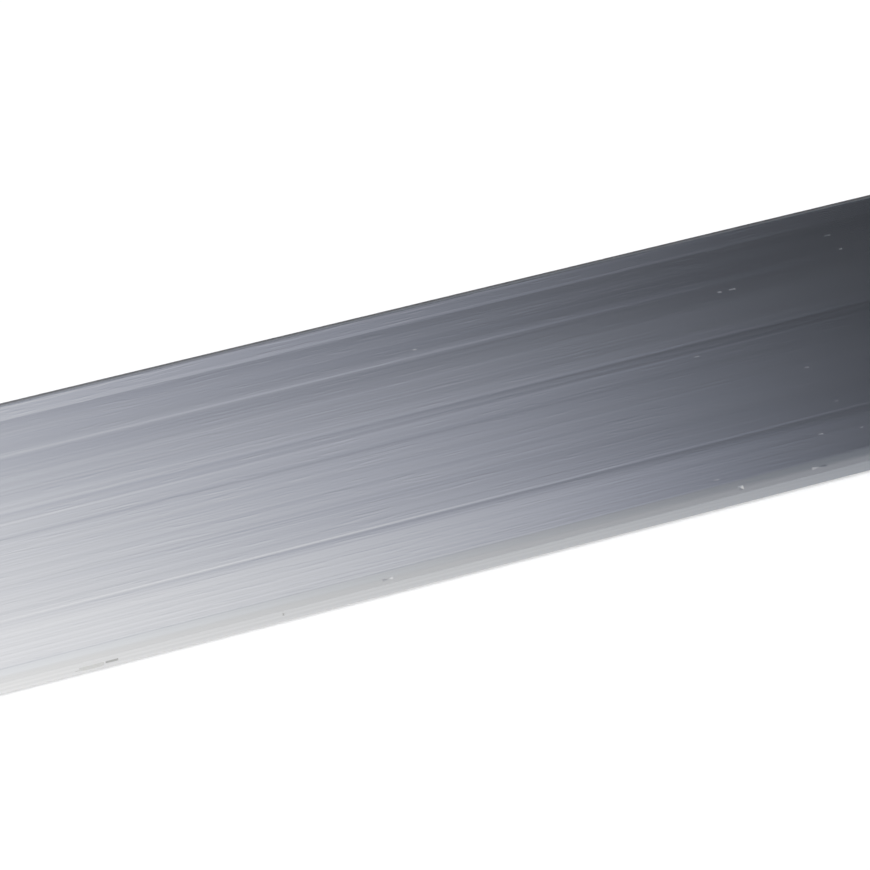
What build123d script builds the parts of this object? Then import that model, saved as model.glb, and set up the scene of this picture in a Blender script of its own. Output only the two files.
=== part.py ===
"""Extruded aluminium flat bar: one length of mill-finish stock with rounded arrises and sawn ends.

The bar lies on its wide face. X runs along the length, Y across the width, and Z up through the
thickness. The origin is the middle of the underside. All sizes are in millimetres.
"""

import os

from build123d import *

# Stock size
bar_length = 1000
bar_width = 40
bar_thickness = 3

# Long edges rounded by the die almost to a half circle. A thinner bar can take only a smaller round.
arris_radius = 1.35
arris_limit_share = 0.46

# Light chamfer that takes the burr off both sawn ends
end_break = 0.2
end_break_limit_share = 0.45

arris = min(arris_radius, arris_limit_share * bar_thickness)
deburr = min(end_break, end_break_limit_share * arris)

with BuildPart() as flat_bar:
    # The section is drawn upright at one sawn end and pushed through the whole length.
    with BuildSketch(Plane.YZ.offset(-bar_length / 2)) as section:
        with Locations((0, bar_thickness / 2)):
            Rectangle(bar_width, bar_thickness)
        fillet(section.vertices(), arris)
    extrude(amount=bar_length)

    sawn_ends = flat_bar.faces().filter_by(Axis.X)
    chamfer(sawn_ends.edges(), deburr)

flat_bar.part.label = "flat_bar"

os.makedirs("parts", exist_ok=True)
export_step(flat_bar.part, "parts/flat_bar.step")
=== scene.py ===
# %% [markdown]
# # A length of aluminium flat bar
#
# The object is one piece of raw stock: aluminium pushed hot through a steel die, stretched straight and
# sawn to length. It has no paint and no polish, so everything the eye sees comes from the metal: the
# lines that the die scored along it, the rounded edges, a few nicks from the rack, and the light that it
# mirrors.
#
# This lesson loads the measured model, builds the bar again as a mesh with those marks as real relief,
# gives it a mill finish, and sets up the camera and the light.

# %% Load the measured model
import math
import random

import bmesh
import bpy
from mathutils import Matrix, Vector
from mathutils.bvhtree import BVHTree


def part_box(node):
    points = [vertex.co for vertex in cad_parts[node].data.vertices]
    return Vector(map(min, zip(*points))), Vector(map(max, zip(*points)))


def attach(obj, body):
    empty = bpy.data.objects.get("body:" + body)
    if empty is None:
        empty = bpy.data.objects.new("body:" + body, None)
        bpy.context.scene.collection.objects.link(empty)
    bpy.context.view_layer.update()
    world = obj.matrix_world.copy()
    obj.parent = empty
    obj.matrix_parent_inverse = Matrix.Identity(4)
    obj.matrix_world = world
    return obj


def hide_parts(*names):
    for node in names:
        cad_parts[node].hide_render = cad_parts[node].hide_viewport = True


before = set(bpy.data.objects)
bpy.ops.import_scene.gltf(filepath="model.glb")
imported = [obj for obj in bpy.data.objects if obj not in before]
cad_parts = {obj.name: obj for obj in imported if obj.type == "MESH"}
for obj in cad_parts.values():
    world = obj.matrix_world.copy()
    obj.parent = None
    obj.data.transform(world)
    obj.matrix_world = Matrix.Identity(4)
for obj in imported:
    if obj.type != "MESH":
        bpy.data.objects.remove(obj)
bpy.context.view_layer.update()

MM = 0.001

low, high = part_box("flat_bar")
bar_length, bar_width, bar_thickness = (high - low) / MM
print(f"flat bar {bar_length:.1f} x {bar_width:.1f} x {bar_thickness:.1f} mm")

# %% [markdown]
# ## The camera
#
# A long lens close to the bar shows about a hand's width of it, with both ends outside the frame. The
# camera stands at the front left and looks down at the wide face. Its distance and focal length were
# chosen together, because they settle how fast the two long edges draw together across the picture.
# Setting the lens first and only then moving the camera would change the size and the convergence at the
# same time.

# %% Camera
CAMERA_AZIMUTH_DEG = -20.362
CAMERA_ELEVATION_DEG = 42
CAMERA_DISTANCE_MM = 468.93
CAMERA_AIM_Y_MM = 1.753
LENS_MM = 184.611
SENSOR_MM = 36
CLIP_START_MM = 10

scene = bpy.context.scene


def outwards(azimuth_deg, elevation_deg):
    """Give the direction from the bar to a camera, lamp or card. Azimuth 0 is in front of the near edge."""
    azimuth = math.radians(azimuth_deg)
    elevation = math.radians(elevation_deg)
    return Vector((
        math.sin(azimuth) * math.cos(elevation),
        -math.cos(azimuth) * math.cos(elevation),
        math.sin(elevation),
    ))


towards_camera = outwards(CAMERA_AZIMUTH_DEG, CAMERA_ELEVATION_DEG)
camera_data = bpy.data.cameras.new("bar_camera")
camera_data.lens = LENS_MM
camera_data.sensor_width = SENSOR_MM
camera_data.clip_start = CLIP_START_MM * MM
camera = bpy.data.objects.new("bar_camera", camera_data)
camera.location = (Vector((0, CAMERA_AIM_Y_MM, 0)) + towards_camera * CAMERA_DISTANCE_MM) * MM
camera.rotation_euler = towards_camera.to_track_quat("Z", "Y").to_euler()
scene.collection.objects.link(camera)
scene.camera = camera
print("camera at", [round(value, 4) for value in camera.location])

# %% [markdown]
# ## The blank
#
# The real bar is one section pushed through its whole length. A cube stretched to the bar's size gives
# the same flat faces, and a bevel on its four long edges gives the rounds that the die leaves, almost
# half circles on a bar this thin. A second, much smaller bevel takes the burr off the two sawn ends. The
# mesh is kept in millimetres while it is shaped, because numbers near 1 are easier to read and keep more
# of their digits, and it goes to metres at the end.

# %% Stretch a cube and round its long edges
ARRIS_RADIUS_MM = 1.35
ARRIS_SEGMENTS = 14
END_BREAK_MM = 0.2

flat_half = bar_width / 2 - ARRIS_RADIUS_MM

bar = bmesh.new()
bmesh.ops.create_cube(bar, size=1)
bmesh.ops.scale(bar, vec=(bar_length, bar_width, bar_thickness), verts=bar.verts)
bmesh.ops.translate(bar, vec=(0, 0, bar_thickness / 2), verts=bar.verts)


def runs_along(edge):
    """Say whether an edge runs the whole length of the bar."""
    start, end = edge.verts
    return abs(start.co.x - end.co.x) > bar_length / 2


long_edges = [edge for edge in bar.edges if runs_along(edge)]
bmesh.ops.bevel(bar, geom=long_edges, offset=ARRIS_RADIUS_MM, offset_type="OFFSET", affect="EDGES",
                segments=ARRIS_SEGMENTS, profile=0.5, material=-1)


# A face is square to the bar where its normal's part along X is above this limit.
SQUARE_LIMIT = 0.99


def sawn_faces():
    """List the faces that the saw left."""
    return [face for face in bar.faces if abs(face.normal.x) > SQUARE_LIMIT]


MILL_INDEX, SAWN_INDEX, DARK_MARK_INDEX, SMEAR_INDEX = range(4)
for face in sawn_faces():
    face.material_index = SAWN_INDEX
end_outline = {edge for face in sawn_faces() for edge in face.edges}
bmesh.ops.bevel(bar, geom=list(end_outline), offset=END_BREAK_MM, offset_type="OFFSET", affect="EDGES",
                segments=1, profile=0.5, material=-1)
print("blank has", len(bar.faces), "faces")

# %% [markdown]
# ## The die lines
#
# A die is never perfectly smooth, so every point of its edge drags a straight lane along the metal. Most
# lanes lean a few thousandths of a radian this way or that, and the sharpest a few hundredths. That adds
# up to a few hundredths of a millimetre at most, but a bright metal doubles each lean in what it mirrors,
# and that is what shows as pale and dark lines. A bump texture could fake it. Here the lanes are cut into
# the mesh, so that they are there from every side and in the exported shape.
#
# A lane is given by where it ends, as a share of the flat from the far edge to the near one, and by its
# lean in thousandths of a radian. A lane that leans towards the near edge mirrors a higher part of the
# room. Each wide lane is then split into fine ones by chance, with a fixed seed so that the bar comes out
# the same every time. The bands along the two edges lean as a whole, and that lean is added to their
# lanes.

# %% Choose the lanes
BAND_LEANS_BY_SHARE = ((0.058, 17.0), (0.868, 0.0), (1.000, 7.5))
LANE_LEANS_BY_SHARE = (
    (0.003, 5.9), (0.012, 5.9), (0.046, -0.9), (0.058, 2.9), (0.066, -0.9), (0.096, -0.5), (0.107, 2.0),
    (0.131, 3.6), (0.172, 0.0), (0.180, -3.0), (0.188, 2.6), (0.198, 3.8), (0.206, 9.0), (0.216, 0.0),
    (0.226, -6.0), (0.240, -4.4), (0.266, -4.4), (0.290, -2.8), (0.298, 2.2), (0.308, 1.2), (0.347, 0.0),
    (0.355, 1.6), (0.366, -3.0), (0.381, -2.1), (0.388, 1.2), (0.396, 4.6), (0.416, 3.4), (0.425, 10.0),
    (0.430, -1.0), (0.437, -8.5), (0.445, -1.5), (0.452, 2.2), (0.462, -4.0), (0.466, 1.0), (0.473, 8.0),
    (0.481, 3.4), (0.512, 1.8), (0.522, -0.9), (0.532, -6.6), (0.573, 1.2), (0.590, 2.8), (0.616, -0.9),
    (0.654, 1.2), (0.668, -2.2), (0.698, 1.3), (0.716, -1.3), (0.736, -3.4), (0.747, -2.4), (0.779, -1.6),
    (0.798, -1.0), (0.808, -3.0), (0.829, -1.4), (0.834, 21.0), (0.838, 0.0), (0.848, -9.5), (0.859, -3.4),
    (0.868, 0.0), (0.880, 0.7), (0.901, 2.4), (0.913, -1.6), (0.928, 3.4), (0.950, 1.6), (0.972, 2.1),
    (1.000, 0.4),
)
FINE_LANE_MM = (0.15, 0.5)
FINE_LEAN = 0.3
UNDERSIDE_LANE_MM = (0.3, 2.6)
UNDERSIDE_LEAN = 4.0
SEED = 42

chance = random.Random(SEED)


def split_lane(far, near, lean):
    """Divide one wide lane into fine ones that lean a little differently."""
    places = [far]
    while places[-1] - near > FINE_LANE_MM[1]:
        places.append(places[-1] - chance.uniform(*FINE_LANE_MM))
    return [(place, lean + chance.gauss(0, FINE_LEAN)) for place in (*places[1:], near)]


upper_lanes = []
far = flat_half
for share, lean in LANE_LEANS_BY_SHARE:
    near = flat_half - share * 2 * flat_half
    upper_lanes += split_lane(far, near, lean)
    far = near

lower_lanes = []
border = flat_half
while border > UNDERSIDE_LANE_MM[1] - flat_half:
    border -= chance.uniform(*UNDERSIDE_LANE_MM)
    lower_lanes.append((border, chance.gauss(0, UNDERSIDE_LEAN)))
lower_lanes.append((-flat_half, 0.0))
print(len(upper_lanes), "lanes on the upper face,", len(lower_lanes), "on the underside")

# %% [markdown]
# ## Cutting the lanes
#
# A plane cut through the wide face at each lane's border gives the lanes their edges. Cutting only the
# faces of one side keeps the other side free for lanes of its own. Then the long strips are divided along
# their length, because a real die line is deeper here and shallower there. A bar is measured over its
# highest lines, so at the end the section is squeezed by less than a tenth of a millimetre, until they
# are level with the measured faces.

# %% Cut the wide faces along the lanes and divide the bar into stations
STATION_CUTS = 79
CUT_TOLERANCE_MM = 1e-5
# A face is level, before the lanes lean, where its normal's part along Z is above this limit.
LEVEL_LIMIT = 0.9995


def wide_faces(up):
    """List the faces of the upper side, with up = 1, or of the underside, with up = -1."""
    return [face for face in bar.faces if face.normal.z * up > LEVEL_LIMIT]


def cut(faces, place, direction):
    """Cut some faces along a plane, leave their neighbours whole, and list the faces that come of it."""
    edges = {edge for face in faces for edge in face.edges}
    verts = {vert for face in faces for vert in face.verts}
    result = bmesh.ops.bisect_plane(bar, geom=[*faces, *edges, *verts], dist=CUT_TOLERANCE_MM,
                                    plane_co=place, plane_no=direction)
    return [part for part in result["geom"] if isinstance(part, bmesh.types.BMFace)]


def span(face, axis):
    """Give a face's lowest and highest place along an axis."""
    places = [vert.co[axis] for vert in face.verts]
    return min(places), max(places)


X, Y = range(2)
for up, lanes in ((1, upper_lanes), (-1, lower_lanes)):
    for border, _ in lanes[:-1]:
        crossed = [face for face in wide_faces(up) if span(face, Y)[0] < border < span(face, Y)[1]]
        cut(crossed, (0, border, 0), (0, 1, 0))

bmesh.ops.subdivide_edges(bar, edges=[edge for edge in bar.edges if runs_along(edge)], cuts=STATION_CUTS,
                          use_grid_fill=True)
print("divided bar has", len(bar.faces), "faces")

# %% Lean the lanes
WANDER_SHARE = 0.45
WANDER_WAVE_MM = (45, 200)
SURGE_SHARE, SURGE_WAVE_MM, SURGE_START_MM = 0.4, 200, -45
MILLIRADIAN = 0.001
COLUMN_DIGITS = 2


def lean_lanes(up, lanes, bands):
    """Raise and lower the lane borders of one side so that each lane leans, more here and less there."""
    borders = [flat_half, *(border for border, _ in lanes)]
    waves = [(chance.uniform(*WANDER_WAVE_MM), chance.uniform(0, math.tau)) for _ in lanes]
    columns = {}
    for face in wide_faces(up):
        for vert in face.verts:
            columns.setdefault(round(vert.co.x, COLUMN_DIGITS), set()).add(vert)
    deepest = 0
    for x, verts in columns.items():
        surge = 1 + SURGE_SHARE * math.sin(math.tau * (x - SURGE_START_MM) / SURGE_WAVE_MM)
        heights = [0.0]
        for (_, lean), (wave, phase), far, near in zip(lanes, waves, borders, borders[1:]):
            here = lean * surge * (1 + WANDER_SHARE * math.sin(math.tau * x / wave + phase))
            here += next((steady for end, steady in bands if end < (far + near) / 2), 0)
            heights.append(heights[-1] - here * MILLIRADIAN * (far - near))
        for vert in verts:
            number = min(range(len(borders)), key=lambda each: abs(borders[each] - vert.co.y))
            level = heights[-1] * (flat_half - vert.co.y) / (2 * flat_half)
            vert.co.z += up * (heights[number] - level)
            deepest = max(deepest, abs(heights[number] - level))
    return deepest


upper_bands = [(flat_half - share * 2 * flat_half, lean) for share, lean in BAND_LEANS_BY_SHARE]
for up, lanes, bands in ((1, upper_lanes, upper_bands), (-1, lower_lanes, [])):
    print(f"relief up to {lean_lanes(up, lanes, bands) / MM:.0f} microns")

# %% Fit the relief into the measured thickness
levels = [vert.co.z for vert in bar.verts]
lowest, highest = min(levels), max(levels)
bmesh.ops.translate(bar, vec=(0, 0, -lowest), verts=bar.verts)
bmesh.ops.scale(bar, vec=(1, 1, bar_thickness / (highest - lowest)), verts=bar.verts)
print(f"squeezed by {(highest - lowest - bar_thickness) / MM:.0f} microns")

# %% [markdown]
# ## Smooth and sharp
#
# The rounds have to look smooth, and each lane has to end in a line. Smooth faces with the lane borders
# marked as sharp edges give both. The sawn ends stay flat, with sharp edges round them.

# %% Shade the bar
# Lanes lean a little, so they count as level down to a lower limit, and an end's chamfer counts as sawn.
LANE_LIMIT = 0.999
END_LIMIT = 0.5

for face in bar.faces:
    face.smooth = abs(face.normal.x) < END_LIMIT
for edge in bar.edges:
    start, end = edge.verts
    lengthwise = abs(start.co.y - end.co.y) < CUT_TOLERANCE_MM
    flat = all(abs(face.normal.z) > LANE_LIMIT for face in edge.link_faces)
    outer = abs(abs(start.co.y) - flat_half) < CUT_TOLERANCE_MM
    at_end = any(abs(face.normal.x) > END_LIMIT for face in edge.link_faces)
    edge.smooth = not ((lengthwise and flat and not outer) or at_end)
print(sum(not edge.smooth for edge in bar.edges), "sharp edges")

# %% [markdown]
# ## Pick-up flecks and nicks
#
# Hot aluminium sticks to the die in grains, which tear out again and leave tiny pits. They show as pale
# specks and short dashes, because the steep wall of a pit mirrors another part of the room. Each is a
# small patch, cut out of its face with four cuts and pressed in with an inset. The ones near the middle
# are placed where the eye meets them first, and chance strews the rest along the bar. Two flecks can fall
# on one face, so the loop runs until none is left.
#
# The nicks on the near edge come from the rack. They are wider than one face of the round, so a stretch
# of several faces is made one face, and its middle is poked in, or out where the knock raised a burr.

# %% Press in the flecks
# Place along the bar, place across it, length and width
PLACED_FLECKS_MM = (
    (1.53, 12.15, 0.40, 0.26), (35.66, 9.59, 0.40, 0.24), (37.28, 9.54, 1.00, 0.22),
    (29.21, 0.67, 0.50, 0.26), (50.90, 11.69, 0.36, 0.22), (50.53, 14.36, 0.70, 0.10),
    (40.18, -11.09, 0.36, 0.24), (36.55, -15.23, 0.46, 0.24), (40.98, -15.66, 0.30, 0.22),
    (39.45, -5.02, 0.44, 0.18), (23.60, -17.93, 0.50, 0.20),
)
STREWN_FLECKS = 76
STREWN_FROM_MM = 62
STREWN_LENGTH_MM = (0.25, 0.9)
STREWN_WIDTH_MM = (0.14, 0.26)
STREWN_EDGE_MM = 19.5
END_MARGIN_MM = 5
FLECK_DEPTH_SHARE = 0.22
FLECK_WALL_SHARE = 0.3

marks = [*PLACED_FLECKS_MM]
for _ in range(STREWN_FLECKS):
    x = chance.uniform(STREWN_FROM_MM, bar_length / 2 - END_MARGIN_MM) * chance.choice((-1, 1))
    y = chance.uniform(-STREWN_EDGE_MM, flat_half)
    marks.append((x, y, chance.uniform(*STREWN_LENGTH_MM), chance.uniform(*STREWN_WIDTH_MM)))
print(len(marks), "flecks")


def holds(face, x, y):
    """Say whether a face lies over a place on the bar."""
    left, right = span(face, X)
    front, back = span(face, Y)
    return left <= x <= right and front <= y <= back


def press_in(patch, x, y, length, width):
    """Cut a small patch out of a face and press it in."""
    sides = (
        ((x - length / 2, 0, 0), (1, 0, 0)),
        ((x + length / 2, 0, 0), (1, 0, 0)),
        ((0, y - width / 2, 0), (0, 1, 0)),
        ((0, y + width / 2, 0), (0, 1, 0)),
    )
    for side, direction in sides:
        patch = next(face for face in cut([patch], side, direction) if holds(face, x, y))
    narrow = min(high_end - low_end for low_end, high_end in (span(patch, X), span(patch, Y)))
    ring = bmesh.ops.inset_individual(bar, faces=[patch], thickness=narrow * FLECK_WALL_SHARE,
                                      depth=-narrow * FLECK_DEPTH_SHARE)["faces"]
    for face in (patch, *ring):
        face.smooth = False
        for edge in face.edges:
            edge.smooth = False


downwards = Vector((0, 0, -1))
rounds = 0
while marks:
    bar.faces.ensure_lookup_table()
    finder = BVHTree.FromBMesh(bar)
    spots = {}
    later = []
    for mark in marks:
        number = finder.ray_cast(Vector((mark[0], mark[1], 2 * bar_thickness)), downwards)[2]
        if bar.faces[number] in spots:
            later.append(mark)
        else:
            spots[bar.faces[number]] = mark
    for patch, mark in spots.items():
        press_in(patch, *mark)
    marks = later
    rounds += 1
print("pressed in, in", rounds, "rounds")

# %% Knock nicks into the near edge
# Place along the bar, place across it, length, width and depth, which is below zero for a burr
NICKS_MM = (
    (-13.00, -19.55, 1.10, 0.24, 0.009),
    (25.67, -19.53, 0.56, 0.36, 0.140),
    (34.50, -19.48, 1.60, 0.20, -0.030),
)


def near_round(y, width):
    """List the faces of the upper near round whose middle lies in a narrow strip along the bar."""
    found = []
    for face in bar.faces:
        middle = face.calc_center_median()
        if abs(middle.y - y) < width / 2 and middle.z > bar_thickness / 2:
            found.append(face)
    return found


for x, y, length, width, depth in NICKS_MM:
    for end in (x - length / 2, x + length / 2):
        crossed = [face for face in near_round(y, width) if span(face, X)[0] < end < span(face, X)[1]]
        cut(crossed, (end, 0, 0), (1, 0, 0))
    hit = [face for face in near_round(y, width) if abs(face.calc_center_median().x - x) < length / 2]
    dented = bmesh.ops.dissolve_faces(bar, faces=hit)["region"]
    walls = bmesh.ops.poke(bar, faces=dented, offset=-depth, center_mode="MEAN")["faces"]
    for face in walls:
        face.smooth = False
        for edge in face.edges:
            edge.smooth = False
    print("nick of", len(hit), "faces with", len(walls), "walls")

# %% [markdown]
# ## Dark marks on the near edge
#
# The side of the near edge has a few dark, dull marks: a dash with a smear of grease beside it, a dot,
# and one more dash and smear further along. Each is a stretch of the edge's faces, cut off with two cuts
# and given a material of its own.

# %% Mark the near edge
# Place along the bar, height and length
DARK_MARKS_MM = ((-24.24, 1.80, 0.20), (-42.20, 1.50, 1.30), (-296.0, 1.95, 1.20))
SMEAR_MM = ((-44.30, 1.50, 2.60), (-44.50, 1.27, 3.00), (-44.20, 1.13, 2.00), (-297.5, 1.80, 1.60))
FACE_HALF_HEIGHT_MM = 0.08

for index, stretches in ((DARK_MARK_INDEX, DARK_MARKS_MM), (SMEAR_INDEX, SMEAR_MM)):
    spotted = 0
    for x, height, length in stretches:
        for end in (x - length / 2, x + length / 2):
            crossed = [face for face in bar.faces if span(face, X)[0] < end < span(face, X)[1]
                       and face.calc_center_median().y < -flat_half
                       and abs(face.calc_center_median().z - height) < FACE_HALF_HEIGHT_MM]
            cut(crossed, (end, 0, 0), (1, 0, 0))
        for face in bar.faces:
            middle = face.calc_center_median()
            near_edge = middle.y < -flat_half and abs(middle.z - height) < FACE_HALF_HEIGHT_MM
            if near_edge and abs(middle.x - x) < length / 2 and face.material_index == MILL_INDEX:
                face.material_index = index
                spotted += 1
    print(spotted, "soiled faces")

# %% [markdown]
# ## The sawn ends
#
# Both ends lie outside the picture. Such stock is cut with a circular saw, which leaves slanting lines
# about a millimetre apart. Slanted cuts across each end face and a push on every other line give that
# ribbing.

# %% Score the sawn ends
SAW_PITCH_MM = 0.9
SAW_SLANT_DEG = 24
SAW_DEPTH_MM = 0.02
ON_LINE_SHARE = 0.02

slant = math.radians(SAW_SLANT_DEG)
across_saw = Vector((0, math.cos(slant), math.sin(slant)))
half_count = int(bar_width / SAW_PITCH_MM) // 2
for number in range(-half_count, half_count + 1):
    cut(sawn_faces(), across_saw * number * SAW_PITCH_MM, across_saw)
for vert in bar.verts:
    if abs(vert.co.x) > bar_length / 2 - CUT_TOLERANCE_MM:
        step = vert.co.dot(across_saw) / SAW_PITCH_MM
        if round(step) % 2 == 0 and abs(step - round(step)) < ON_LINE_SHARE:
            vert.co.x -= math.copysign(SAW_DEPTH_MM, vert.co.x)
print(len(sawn_faces()), "faces on the sawn ends")

# %% [markdown]
# ## From mesh to object
#
# So far the bar is only a shape in the making. It becomes a mesh in metres and an object, which rides on
# the body of the measured bar and takes its place. The bar's place stays in the mesh, and the object
# itself sits at the origin, so that patterns fixed to the object stay where they are.

# %% Make the mesh an object
bmesh.ops.scale(bar, vec=(MM, MM, MM), verts=bar.verts)
bar_mesh = bpy.data.meshes.new("mill_finish_bar")
bar.to_mesh(bar_mesh)
bar.free()
mill_finish_bar = bpy.data.objects.new("mill_finish_bar", bar_mesh)
scene.collection.objects.link(mill_finish_bar)
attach(mill_finish_bar, "root")
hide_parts("flat_bar")
print("bar mesh has", len(bar_mesh.polygons), "faces")

# %% [markdown]
# ## Colours and nodes
#
# Colours are written as the hex values that a colour picker shows, and one function turns them into the
# linear values that shaders work with. A second one adds a node, with its settings and links, so that
# each material below reads as a list of what it is made of.

# %% Helpers for the materials


def linear(hex_colour):
    """Turn an sRGB hex colour into the linear one that shaders use."""
    channels = [int(hex_colour[start:start + 2], 16) / 255 for start in (1, 3, 5)]
    return [c / 12.92 if c <= 0.04045 else ((c + 0.055) / 1.055) ** 2.4 for c in channels] + [1]


def add(tree, kind, sockets=None, **settings):
    """Add a node with its settings, and set or link its sockets."""
    node = tree.nodes.new(kind)
    for name, value in settings.items():
        setattr(node, name, value)
    for name, value in (sockets or {}).items():
        if isinstance(value, bpy.types.NodeSocket):
            tree.links.new(value, node.inputs[name])
        else:
            node.inputs[name].default_value = value
    return node


def empty_material(name):
    """Make a material without nodes and give it with its node tree."""
    material = bpy.data.materials.new(name)
    material.use_nodes = True
    material.node_tree.nodes.clear()
    return material, material.node_tree


def drawn_out(tree, length_mm, width_mm, detail=0.0):
    """Add noise whose grains lie along the bar and have a given length and width."""
    place = add(tree, "ShaderNodeTexCoord").outputs["Object"]
    grain = (1 / (length_mm * MM), 1 / (width_mm * MM), 1 / (width_mm * MM))
    stretched = add(tree, "ShaderNodeMapping", {"Vector": place, "Scale": grain})
    noise = add(tree, "ShaderNodeTexNoise", {"Vector": stretched.outputs[0], "Scale": 1.0,
                                             "Detail": detail})
    return noise.outputs[0]


HALF_GREY = "#808080"
print(HALF_GREY, "is", round(linear(HALF_GREY)[0], 3), "of white in linear light")

# %% [markdown]
# ## Mill finish
#
# Mill finish is bare aluminium as the die leaves it: a pale metal, satin rather than shiny, with a sheen
# drawn out along the bar. Four noises make it. Hair-fine lines vary the tone, the gloss and the height a
# little, a slow haze varies the gloss from place to place, long scratches run through here and there, and
# short raised dashes stand where metal was dragged along, more of them towards the edges. The rounded
# edges rub hardest against the die, so they are a little smoother than the face, and their lines are
# fainter.

# %% Mill finish
# Bare aluminium reflects more than eight tenths of the light, with hardly any colour of its own. Its
# satin gloss blurs the room into long soft gradients.
METAL_BRIGHT, METAL_DULL = "#E9E9EA", "#E2E2E3"
EDGE_BRIGHT, EDGE_DULL = "#E8E8E8", "#E3E3E3"
LINE_LENGTH_MM, LINE_WIDTH_MM, LINE_DETAIL = 200, 0.30, 2.0
HAZE_LENGTH_MM, HAZE_WIDTH_MM, HAZE_DETAIL = 90, 6, 2.0
SCRATCH_LENGTH_MM, SCRATCH_WIDTH_MM = 45, 0.3
DASH_LENGTH_MM, DASH_WIDTH_MM = 4.0, 0.24
SATIN_ROUGHNESS, LINE_ROUGHNESS, HAZE_ROUGHNESS, EDGE_ROUGHNESS = 0.20, 0.02, 0.03, -0.02
EDGE_STARTS_MM, EDGE_ENDS_MM = 18.5, 19.2
TONE_STARTS, TONE_ENDS = 0.3, 0.7
SCRATCH_STARTS, SCRATCH_ENDS = 0.64, 0.74
DASH_STARTS, DASH_ENDS = 0.66, 0.80
WEAR_STARTS_MM, WEAR_ENDS_MM, WEAR_SHARE = 14.5, 18.5, 0.08
LINE_HEIGHT_MM, SCRATCH_HEIGHT_MM, DASH_HEIGHT_MM = 0.0003, 0.0006, 0.0014

mill, tree = empty_material("mill_finish_aluminium")
lines = drawn_out(tree, LINE_LENGTH_MM, LINE_WIDTH_MM, LINE_DETAIL)
haze = drawn_out(tree, HAZE_LENGTH_MM, HAZE_WIDTH_MM, HAZE_DETAIL)
scratches = drawn_out(tree, SCRATCH_LENGTH_MM, SCRATCH_WIDTH_MM)
dashes = drawn_out(tree, DASH_LENGTH_MM, DASH_WIDTH_MM)

place = add(tree, "ShaderNodeTexCoord").outputs["Object"]
parts = add(tree, "ShaderNodeSeparateXYZ", {0: place})
from_middle = add(tree, "ShaderNodeMath", {0: parts.outputs["Y"]}, operation="ABSOLUTE")
rounded = add(tree, "ShaderNodeMapRange", {"Value": from_middle.outputs[0], "From Min": EDGE_STARTS_MM * MM,
                                           "From Max": EDGE_ENDS_MM * MM}, interpolation_type="SMOOTHSTEP")

tone = add(tree, "ShaderNodeMapRange", {"Value": lines, "From Min": TONE_STARTS, "From Max": TONE_ENDS})
metal = add(tree, "ShaderNodeMix", {0: tone.outputs[0], 6: linear(METAL_DULL), 7: linear(METAL_BRIGHT)},
            data_type="RGBA")
rubbed = add(tree, "ShaderNodeMix", {0: tone.outputs[0], 6: linear(EDGE_DULL), 7: linear(EDGE_BRIGHT)},
             data_type="RGBA")
colour = add(tree, "ShaderNodeMix", {0: rounded.outputs[0], 6: metal.outputs[2], 7: rubbed.outputs[2]},
             data_type="RGBA")

fine = add(tree, "ShaderNodeMapRange", {"Value": lines, "To Min": SATIN_ROUGHNESS + LINE_ROUGHNESS,
                                        "To Max": SATIN_ROUGHNESS - LINE_ROUGHNESS})
slow = add(tree, "ShaderNodeMapRange", {"Value": haze, "To Min": -HAZE_ROUGHNESS, "To Max": HAZE_ROUGHNESS})
satin = add(tree, "ShaderNodeMath", {0: fine.outputs[0], 1: slow.outputs[0]}, operation="ADD")
roughness = add(tree, "ShaderNodeMath", {0: rounded.outputs[0], 1: EDGE_ROUGHNESS, 2: satin.outputs[0]},
                operation="MULTIPLY_ADD")

# %% Relief of the mill finish
scored = add(tree, "ShaderNodeMapRange", {"Value": scratches, "From Min": SCRATCH_STARTS,
                                          "From Max": SCRATCH_ENDS})
wear = add(tree, "ShaderNodeMapRange", {"Value": from_middle.outputs[0], "From Min": WEAR_STARTS_MM * MM,
                                        "From Max": WEAR_ENDS_MM * MM, "To Max": WEAR_SHARE})
worn = add(tree, "ShaderNodeMath", {0: dashes, 1: wear.outputs[0]}, operation="ADD")
dragged = add(tree, "ShaderNodeMapRange", {"Value": worn.outputs[0], "From Min": DASH_STARTS,
                                           "From Max": DASH_ENDS})
reliefs = (
    (lines, LINE_HEIGHT_MM),
    (scored.outputs[0], SCRATCH_HEIGHT_MM),
    (dragged.outputs[0], DASH_HEIGHT_MM),
)
relief = None
for height, height_mm in reliefs:
    sockets = {"Height": height, "Strength": 1.0, "Distance": height_mm * MM}
    if relief:
        sockets["Normal"] = relief.outputs[0]
    relief = add(tree, "ShaderNodeBump", sockets)
shader = add(tree, "ShaderNodeBsdfPrincipled", {
    "Base Color": colour.outputs[2],
    "Metallic": 1.0,
    "Roughness": roughness.outputs[0],
    "Normal": relief.outputs[0],
})
add(tree, "ShaderNodeOutputMaterial", {"Surface": shader.outputs[0]})
bar_mesh.materials.append(mill)
print("mill finish has", len(tree.nodes), "nodes")

# %% [markdown]
# ## Sawn metal
#
# A fresh saw cut is brighter and rougher than the face, with fine scratches along the path of the teeth.
# The same kind of drawn-out noise does it, turned to the slant of the saw.

# %% Sawn aluminium
# Freshly cut aluminium glitters in short scratches instead of mirroring the room.
SAWN_BRIGHT, SAWN_DULL = "#E4E4E5", "#CFD0D2"
TOOTH_LENGTH_MM, TOOTH_WIDTH_MM, TOOTH_DETAIL = 3, 0.12, 2.0
SAWN_ROUGHNESS = (0.34, 0.46)

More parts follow.
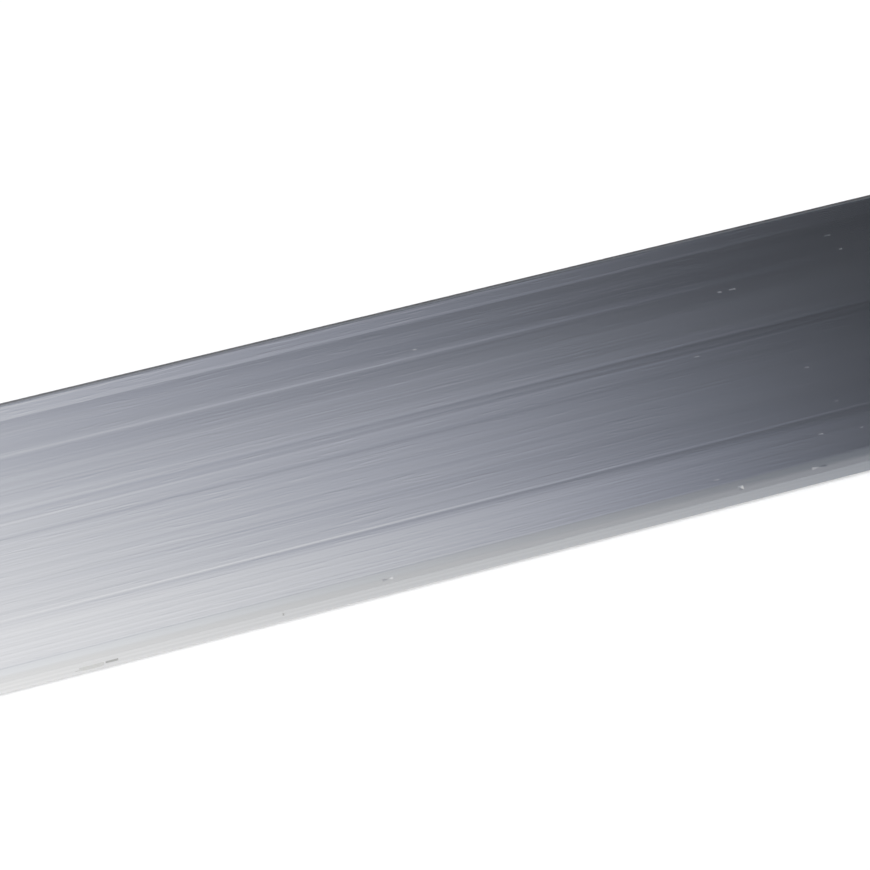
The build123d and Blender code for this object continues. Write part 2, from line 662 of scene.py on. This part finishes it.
sawn, tree = empty_material("sawn_aluminium")
place = add(tree, "ShaderNodeTexCoord").outputs["Object"]
grain = (1 / (TOOTH_WIDTH_MM * MM), 1 / (TOOTH_WIDTH_MM * MM), 1 / (TOOTH_LENGTH_MM * MM))
turned = add(tree, "ShaderNodeMapping", {"Vector": place, "Rotation": (-slant, 0, 0)})
scaled = add(tree, "ShaderNodeMapping", {"Vector": turned.outputs[0], "Scale": grain})
teeth = add(tree, "ShaderNodeTexNoise", {"Vector": scaled.outputs[0], "Scale": 1.0,
                                         "Detail": TOOTH_DETAIL})
colour = add(tree, "ShaderNodeMix", {0: teeth.outputs[0], 6: linear(SAWN_DULL), 7: linear(SAWN_BRIGHT)},
             data_type="RGBA")
roughness = add(tree, "ShaderNodeMapRange", {"Value": teeth.outputs[0], "To Min": SAWN_ROUGHNESS[0],
                                             "To Max": SAWN_ROUGHNESS[1]})
shader = add(tree, "ShaderNodeBsdfPrincipled", {"Base Color": colour.outputs[2], "Metallic": 1.0,
                                                "Roughness": roughness.outputs[0]})
add(tree, "ShaderNodeOutputMaterial", {"Surface": shader.outputs[0]})
bar_mesh.materials.append(sawn)
print("sawn aluminium has", len(tree.nodes), "nodes")

# %% [markdown]
# ## Dark marks and grease
#
# The dark dashes and the dot on the near edge are a matt grey. They are dull and not metallic, so they stay
# dark where the metal around them mirrors the bright floor. The smear beside a dash is only a film: the
# metal still shines through it, a little darker and softer.

# %% Dirt and smear
# A matt grey, darker than any part of the metal beside it.
DARK_MARK_GREY, DARK_MARK_ROUGHNESS = "#989896", 0.8
# A thin film of grease, which takes about an eighth of the light from the metal under it.
SMEAR_GREY, SMEAR_ROUGHNESS = "#D8D8D6", 0.3

for name, grey, roughness, metallic in (("dark_matt_mark", DARK_MARK_GREY, DARK_MARK_ROUGHNESS, 0.0),
                                        ("greasy_smear", SMEAR_GREY, SMEAR_ROUGHNESS, 1.0)):
    mark_material, tree = empty_material(name)
    shader = add(tree, "ShaderNodeBsdfPrincipled", {"Base Color": linear(grey), "Roughness": roughness,
                                                    "Metallic": metallic})
    add(tree, "ShaderNodeOutputMaterial", {"Surface": shader.outputs[0]})
    bar_mesh.materials.append(mark_material)
    print(name, "is", grey)

# %% [markdown]
# ## The floor
#
# The bar lies on a plain white sheet that runs out of the picture on all sides. A white sheet under soft
# light comes out light grey, so part of it is made to glow at a strength of 1, for the camera and for
# what the metal mirrors. The rest is lit like paper and keeps the bar's shadow. The floor and the cards
# further down are the same kind of thing, a flat rectangle, so one function makes them all.

# %% Floor
FLOOR_SIZE_MM = 40000
FLOOR_GAP_MM = 0.05
FLOOR_GLOW_SHARE = 0.3
# Matt white paper, which shows soft shadows and no mirror image.
PAPER_WHITE, GLOW_WHITE = "#F8F8F8", "#FFFFFF"


def rectangle(name, size_mm, middle_mm):
    """Make a flat rectangle, with its size and its middle in millimetres."""
    mesh = bpy.data.meshes.new(name)
    grid = bmesh.new()
    bmesh.ops.create_grid(grid, x_segments=1, y_segments=1, size=0.5)
    bmesh.ops.scale(grid, vec=Vector((*size_mm, 1)) * MM, verts=grid.verts)
    bmesh.ops.translate(grid, vec=Vector(middle_mm) * MM, verts=grid.verts)
    grid.to_mesh(mesh)
    grid.free()
    thing = bpy.data.objects.new(name, mesh)
    scene.collection.objects.link(thing)
    return thing


floor = rectangle("floor", (FLOOR_SIZE_MM, FLOOR_SIZE_MM), (0, 0, -FLOOR_GAP_MM))
paper, tree = empty_material("white_paper")
path = add(tree, "ShaderNodeLightPath")
seen = path.outputs["Is Camera Ray"]
for mirrored in ("Is Glossy Ray", "Is Transmission Ray"):
    seen = add(tree, "ShaderNodeMath", {0: seen, 1: path.outputs[mirrored]}, operation="MAXIMUM").outputs[0]
glow_share = add(tree, "ShaderNodeMath", {0: seen, 1: FLOOR_GLOW_SHARE}, operation="MULTIPLY")
lit = add(tree, "ShaderNodeBsdfDiffuse", {"Color": linear(PAPER_WHITE)})
glow = add(tree, "ShaderNodeEmission", {"Color": linear(GLOW_WHITE), "Strength": 1.0})
mixed = add(tree, "ShaderNodeMixShader", {0: glow_share.outputs[0], 1: lit.outputs[0], 2: glow.outputs[0]})
add(tree, "ShaderNodeOutputMaterial", {"Surface": mixed.outputs[0]})
floor.data.materials.append(paper)
print("floor is", PAPER_WHITE)

# %% [markdown]
# ## The room
#
# A metal bar looks like the room it mirrors, so the room is part of the finish. Its back wall is dim with
# a cool tint, which gives the face its dark blue-grey side. It is lighter low down and darker again at
# its base, where the far round looks. The ceiling and the front wall are bright at the left and dim at
# the right, and the near round picks them up. Each zone is a ramp from left to right, and one zone is
# blended into the next by the turn about the bar's length, from 0 degrees at the foot of the back wall
# over 90 degrees above the bar to 180 degrees in front.

# %% Room
scene.view_settings.view_transform = "Standard"
BACK_SHARES = (
    (0.0, "#A8ACB4"), (0.36, "#A0A4AC"), (0.46, "#1C1F22"), (0.77, "#1C1F22"), (0.92, "#8C9098"),
)
LOW_SHARES = (
    (0.0, "#C4C8D0"), (0.53, "#C0C4CC"), (0.63, "#8A8E96"), (0.72, "#53575D"), (0.92, "#8C9098"),
)
BASE_SHARES = (
    (0.0, "#84868A"), (0.53, "#84868A"), (0.63, "#646669"), (0.72, "#3C3E42"), (0.92, "#8C9098"),
)
CEILING_SHARES = (
    (0.0, "#C0C0C0"), (0.58, "#FAFCFF"), (0.672, "#464E5C"), (0.76, "#464E5C"), (0.92, "#9CA0A8"),
)
FRONT_SHARES = (
    (0.0, "#C0C0C0"), (0.575, "#FFFFFF"), (0.675, "#747984"), (0.76, "#747984"), (0.92, "#9CA0A8"),
)
CEILING_STRENGTH = 1.05
FRONT_STRENGTH = 1.0
LOW_STARTS_DEG, LOW_FULL_DEG = 39.3, 32.5
BASE_STARTS_DEG, BASE_FULL_DEG = 27, 15
CEILING_STARTS_DEG, CEILING_FULL_DEG = 49, 62
FRONT_STARTS_DEG, FRONT_FULL_DEG = 99, 147

world = bpy.data.worlds.new("studio")
scene.world = world
world.use_nodes = True
tree = world.node_tree
tree.nodes.clear()
direction = add(tree, "ShaderNodeTexCoord").outputs["Generated"]
parts = add(tree, "ShaderNodeSeparateXYZ", {0: direction})
from_left = add(tree, "ShaderNodeMapRange", {"Value": parts.outputs["X"], "From Min": -1.0})
turn = add(tree, "ShaderNodeMath", {0: parts.outputs["Z"], 1: parts.outputs["Y"]}, operation="ARCTAN2")
zones = (
    (BACK_SHARES, 1.0, None),
    (LOW_SHARES, 1.0, (LOW_STARTS_DEG, LOW_FULL_DEG)),
    (BASE_SHARES, 1.0, (BASE_STARTS_DEG, BASE_FULL_DEG)),
    (CEILING_SHARES, CEILING_STRENGTH, (CEILING_STARTS_DEG, CEILING_FULL_DEG)),
    (FRONT_SHARES, FRONT_STRENGTH, (FRONT_STARTS_DEG, FRONT_FULL_DEG)),
)
room = None
for shares, strength, border in zones:
    graded = add(tree, "ShaderNodeValToRGB", {"Fac": from_left.outputs[0]})
    stops = graded.color_ramp.elements
    while len(stops) < len(shares):
        stops.new(1.0)
    for stop, (share, colour) in zip(stops, shares):
        stop.position = share
        stop.color = linear(colour)
    zone = add(tree, "ShaderNodeBackground", {"Color": graded.outputs["Color"], "Strength": strength})
    if border:
        starts, full = (math.radians(degrees) for degrees in border)
        reached = add(tree, "ShaderNodeMapRange", {"Value": turn.outputs[0], "From Min": starts,
                                                   "From Max": full}, interpolation_type="SMOOTHSTEP")
        zone = add(tree, "ShaderNodeMixShader", {0: reached.outputs[0], 1: room.outputs[0],
                                                 2: zone.outputs[0]})
    room = zone
add(tree, "ShaderNodeOutputWorld", {"Surface": room.outputs[0]})
print("room with", len(zones), "graded zones")

# %% [markdown]
# ## The softbox
#
# The long gradient on the face is the mirror image of a softbox behind the bar: bright above, fading out
# downwards and to both sides. It is a card whose glow is worked out from the place on the card, and where
# it doesn't glow it is clear and the room shows through. Only mirror rays see it, so it puts no light on
# the floor. Its top edge slants, so that the ceiling takes over just where the face rolls over into the
# near round.

# %% Softbox
SOFTBOX_AZIMUTH_DEG, SOFTBOX_ELEVATION_DEG = 159.6, 42
SOFTBOX_DISTANCE_MM = 400
SOFTBOX_LEFT_MM, SOFTBOX_RIGHT_MM = -600, 400
SOFTBOX_LOW_MM, SOFTBOX_TOP_MM = -200, 480
RISE_TURN_DEG, RISE_START_MM, RISE_END_MM = 97.7, -47, 56
RISE_POWER = 1.45
FADE_TURN_DEG, FADE_START_MM, FADE_END_MM = -32, 113, -12
TOP_TURN_DEG, TOP_START_MM, TOP_END_MM = 71, 112, 34
LEFT_START_MM, LEFT_END_MM = -300, -140
SOFTBOX_STRENGTH = 1.09
# White cloth, a little bluer where less light comes through it.
DIM_CLOTH, BRIGHT_CLOTH = "#DDE5FF", "#FFFFFF"
TINT_START_SHARE, TINT_END_SHARE = 0.38, 0.78


def stand(thing, azimuth_deg, elevation_deg, distance_mm, aim_mm):
    """Put a lamp or card in a direction from a point of the bar and turn its front towards that point."""
    away = outwards(azimuth_deg, elevation_deg)
    thing.location = (Vector(aim_mm) + away * distance_mm) * MM
    front = -away if thing.type == "MESH" else away
    thing.rotation_euler = front.to_track_quat("Z", "Y").to_euler()


def only_mirrored(thing):
    """Hide a card from everything but mirror rays."""
    thing.visible_camera = False
    thing.visible_diffuse = False
    thing.visible_shadow = False


softbox_size = (SOFTBOX_RIGHT_MM - SOFTBOX_LEFT_MM, SOFTBOX_TOP_MM - SOFTBOX_LOW_MM)
softbox_middle = ((SOFTBOX_RIGHT_MM + SOFTBOX_LEFT_MM) / 2, (SOFTBOX_TOP_MM + SOFTBOX_LOW_MM) / 2, 0)
softbox = rectangle("softbox", softbox_size, softbox_middle)
stand(softbox, SOFTBOX_AZIMUTH_DEG, SOFTBOX_ELEVATION_DEG, SOFTBOX_DISTANCE_MM, (0, 0, bar_thickness))
only_mirrored(softbox)
print("softbox at", [round(value, 3) for value in softbox.location])

# %% Softbox cloth
cloth, tree = empty_material("softbox_cloth")
place = add(tree, "ShaderNodeTexCoord").outputs["Object"]


def across_cloth(turn_deg, start_mm, end_mm, interpolation):
    """Give a ramp from 0 to 1 over the cloth, in a direction turned from its right-hand side."""
    angle = math.radians(turn_deg)
    way = add(tree, "ShaderNodeVectorMath", {0: place, 1: (math.cos(angle), math.sin(angle), 0)},
              operation="DOT_PRODUCT")
    reach = add(tree, "ShaderNodeMapRange", {"Value": way.outputs["Value"], "From Min": start_mm * MM,
                                             "From Max": end_mm * MM}, interpolation_type=interpolation)
    return reach.outputs[0]


ramp = across_cloth(RISE_TURN_DEG, RISE_START_MM, RISE_END_MM, "LINEAR")
fade = across_cloth(FADE_TURN_DEG, FADE_START_MM, FADE_END_MM, "SMOOTHSTEP")
top = across_cloth(TOP_TURN_DEG, TOP_START_MM, TOP_END_MM, "SMOOTHSTEP")
left_end = across_cloth(0, LEFT_START_MM, LEFT_END_MM, "SMOOTHSTEP")
rise = add(tree, "ShaderNodeMath", {0: ramp, 1: RISE_POWER}, operation="POWER")
faded = add(tree, "ShaderNodeMath", {0: rise.outputs[0], 1: fade}, operation="MULTIPLY")
topped = add(tree, "ShaderNodeMath", {0: faded.outputs[0], 1: top}, operation="MULTIPLY")
brightness = add(tree, "ShaderNodeMath", {0: topped.outputs[0], 1: left_end}, operation="MULTIPLY")
whiteness = add(tree, "ShaderNodeMapRange", {"Value": brightness.outputs[0], "From Min": TINT_START_SHARE,
                                             "From Max": TINT_END_SHARE})
tint = add(tree, "ShaderNodeMix", {0: whiteness.outputs[0], 6: linear(DIM_CLOTH), 7: linear(BRIGHT_CLOTH)},
           data_type="RGBA")
strength = add(tree, "ShaderNodeMath", {0: brightness.outputs[0], 1: SOFTBOX_STRENGTH},
               operation="MULTIPLY")
glow = add(tree, "ShaderNodeEmission", {"Color": tint.outputs[2], "Strength": strength.outputs[0]})
clear = add(tree, "ShaderNodeBsdfTransparent")
both = add(tree, "ShaderNodeAddShader", {0: glow.outputs[0], 1: clear.outputs[0]})
add(tree, "ShaderNodeOutputMaterial", {"Surface": both.outputs[0]})
softbox.data.materials.append(cloth)
print("softbox cloth has", len(tree.nodes), "nodes")

# %% [markdown]
# ## The floor cards
#
# The lower half of the near round mirrors what lies in front of the bar, and the outermost line of the
# far round what lies behind it. On a white floor alone both would be white from end to end, but the real
# ones darken to the right. A strip of graded card on either side of the bar, which only mirror rays see,
# does that.

# %% Floor cards
CARD_NEAR_MM, CARD_FAR_MM = 19.5, 160
CARD_LIFT_MM = 0.02
GRADE_START_MM, GRADE_END_MM = -60, 62
FRONT_CARD_LIGHT, FRONT_CARD_DARK = "#FFFFFF", "#8C929C"
BACK_CARD_LIGHT, BACK_CARD_DARK = "#707074", "#303236"

cards = (
    ("front_card", -1, FRONT_CARD_LIGHT, FRONT_CARD_DARK),
    ("back_card", 1, BACK_CARD_LIGHT, BACK_CARD_DARK),
)
for name, side, light, dark in cards:
    card = rectangle(name, (bar_length, CARD_FAR_MM - CARD_NEAR_MM),
                     (0, side * (CARD_FAR_MM + CARD_NEAR_MM) / 2, CARD_LIFT_MM))
    only_mirrored(card)
    board, tree = empty_material(name)
    place = add(tree, "ShaderNodeTexCoord").outputs["Object"]
    parts = add(tree, "ShaderNodeSeparateXYZ", {0: place})
    grade = add(tree, "ShaderNodeMapRange", {"Value": parts.outputs["X"], "From Min": GRADE_START_MM * MM,
                                             "From Max": GRADE_END_MM * MM})
    shade = add(tree, "ShaderNodeMix", {0: grade.outputs[0], 6: linear(light), 7: linear(dark)},
                data_type="RGBA")
    glow = add(tree, "ShaderNodeEmission", {"Color": shade.outputs[2], "Strength": 1.0})
    add(tree, "ShaderNodeOutputMaterial", {"Surface": glow.outputs[0]})
    card.data.materials.append(board)
    print(name, "from", light, "to", dark)

# %% [markdown]
# ## A lamp for the floor
#
# A broad lamp at the front left lights the floor, so the bar's soft shadow falls behind it. The lamp is
# hidden from mirror rays and leaves no hot spot on the metal.

# %% Lamp
SUN_AZIMUTH_DEG, SUN_ELEVATION_DEG, SUN_DISTANCE_MM = -20, 55, 2000
SUN_ENERGY, SUN_ANGLE_DEG = 2.4, 30

sun_data = bpy.data.lights.new("floor_lamp", "SUN")
sun_data.energy = SUN_ENERGY
sun_data.angle = math.radians(SUN_ANGLE_DEG)
sun = bpy.data.objects.new("floor_lamp", sun_data)
scene.collection.objects.link(sun)
sun.visible_glossy = False
stand(sun, SUN_AZIMUTH_DEG, SUN_ELEVATION_DEG, SUN_DISTANCE_MM, (0, 0, 0))
print("lamp at", [round(value, 3) for value in sun.location])
